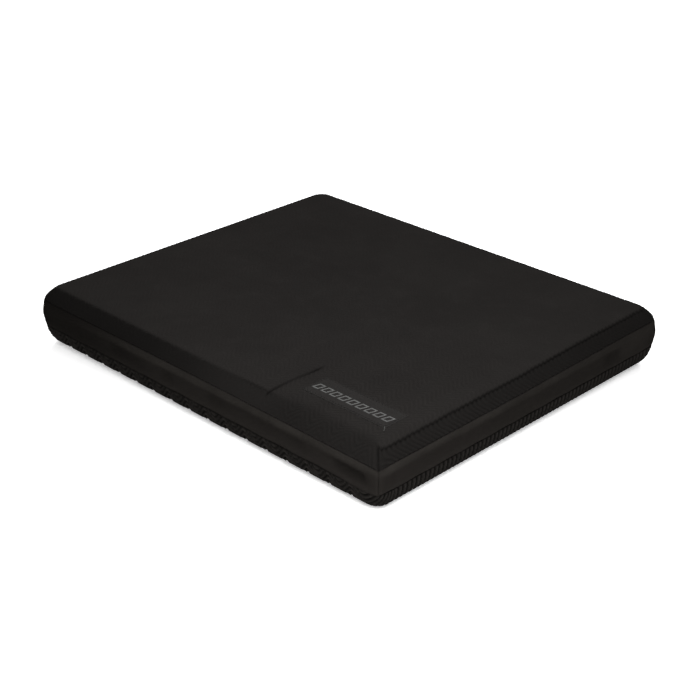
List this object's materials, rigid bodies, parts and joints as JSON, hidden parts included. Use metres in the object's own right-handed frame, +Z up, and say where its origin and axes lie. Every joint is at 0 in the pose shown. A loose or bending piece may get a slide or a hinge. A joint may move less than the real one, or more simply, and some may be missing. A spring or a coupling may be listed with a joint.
{
  "type": "balance pad",
  "caption": "Thick rectangular foam balance pad with rounded edges, ribbed anti-slip skins, a smooth side band and a small sewn label near one corner.",
  "frame": {"origin": "middle of the underside, on the surface that the pad lies on", "axes": "+X along the long side, +Z up out of the top face, -Y out of the long side that the label is near, with the label towards +X"},
  "size_m": [0.472, 0.4, 0.0608],
  "materials": {
    "ribbed_skin": "matte charcoal foam skin with fine wavy ribs",
    "smooth_band": "smooth satin charcoal foam skin",
    "core_foam": "closed-cell foam, fine even cells",
    "label_cloth": "dark grey woven label",
    "label_ink": "light grey printed marks",
    "sewing_thread": "twisted dark grey thread"
  },
  "bodies": {
    "root": {"top_skin": "ribbed_skin", "bottom_skin": "ribbed_skin", "side_band": "smooth_band", "upper_core": "core_foam", "middle_core": "core_foam", "lower_core": "core_foam", "label": "label_cloth", "label_print": "label_ink", "label_stitching": "sewing_thread"}
  },
  "joints": []
}
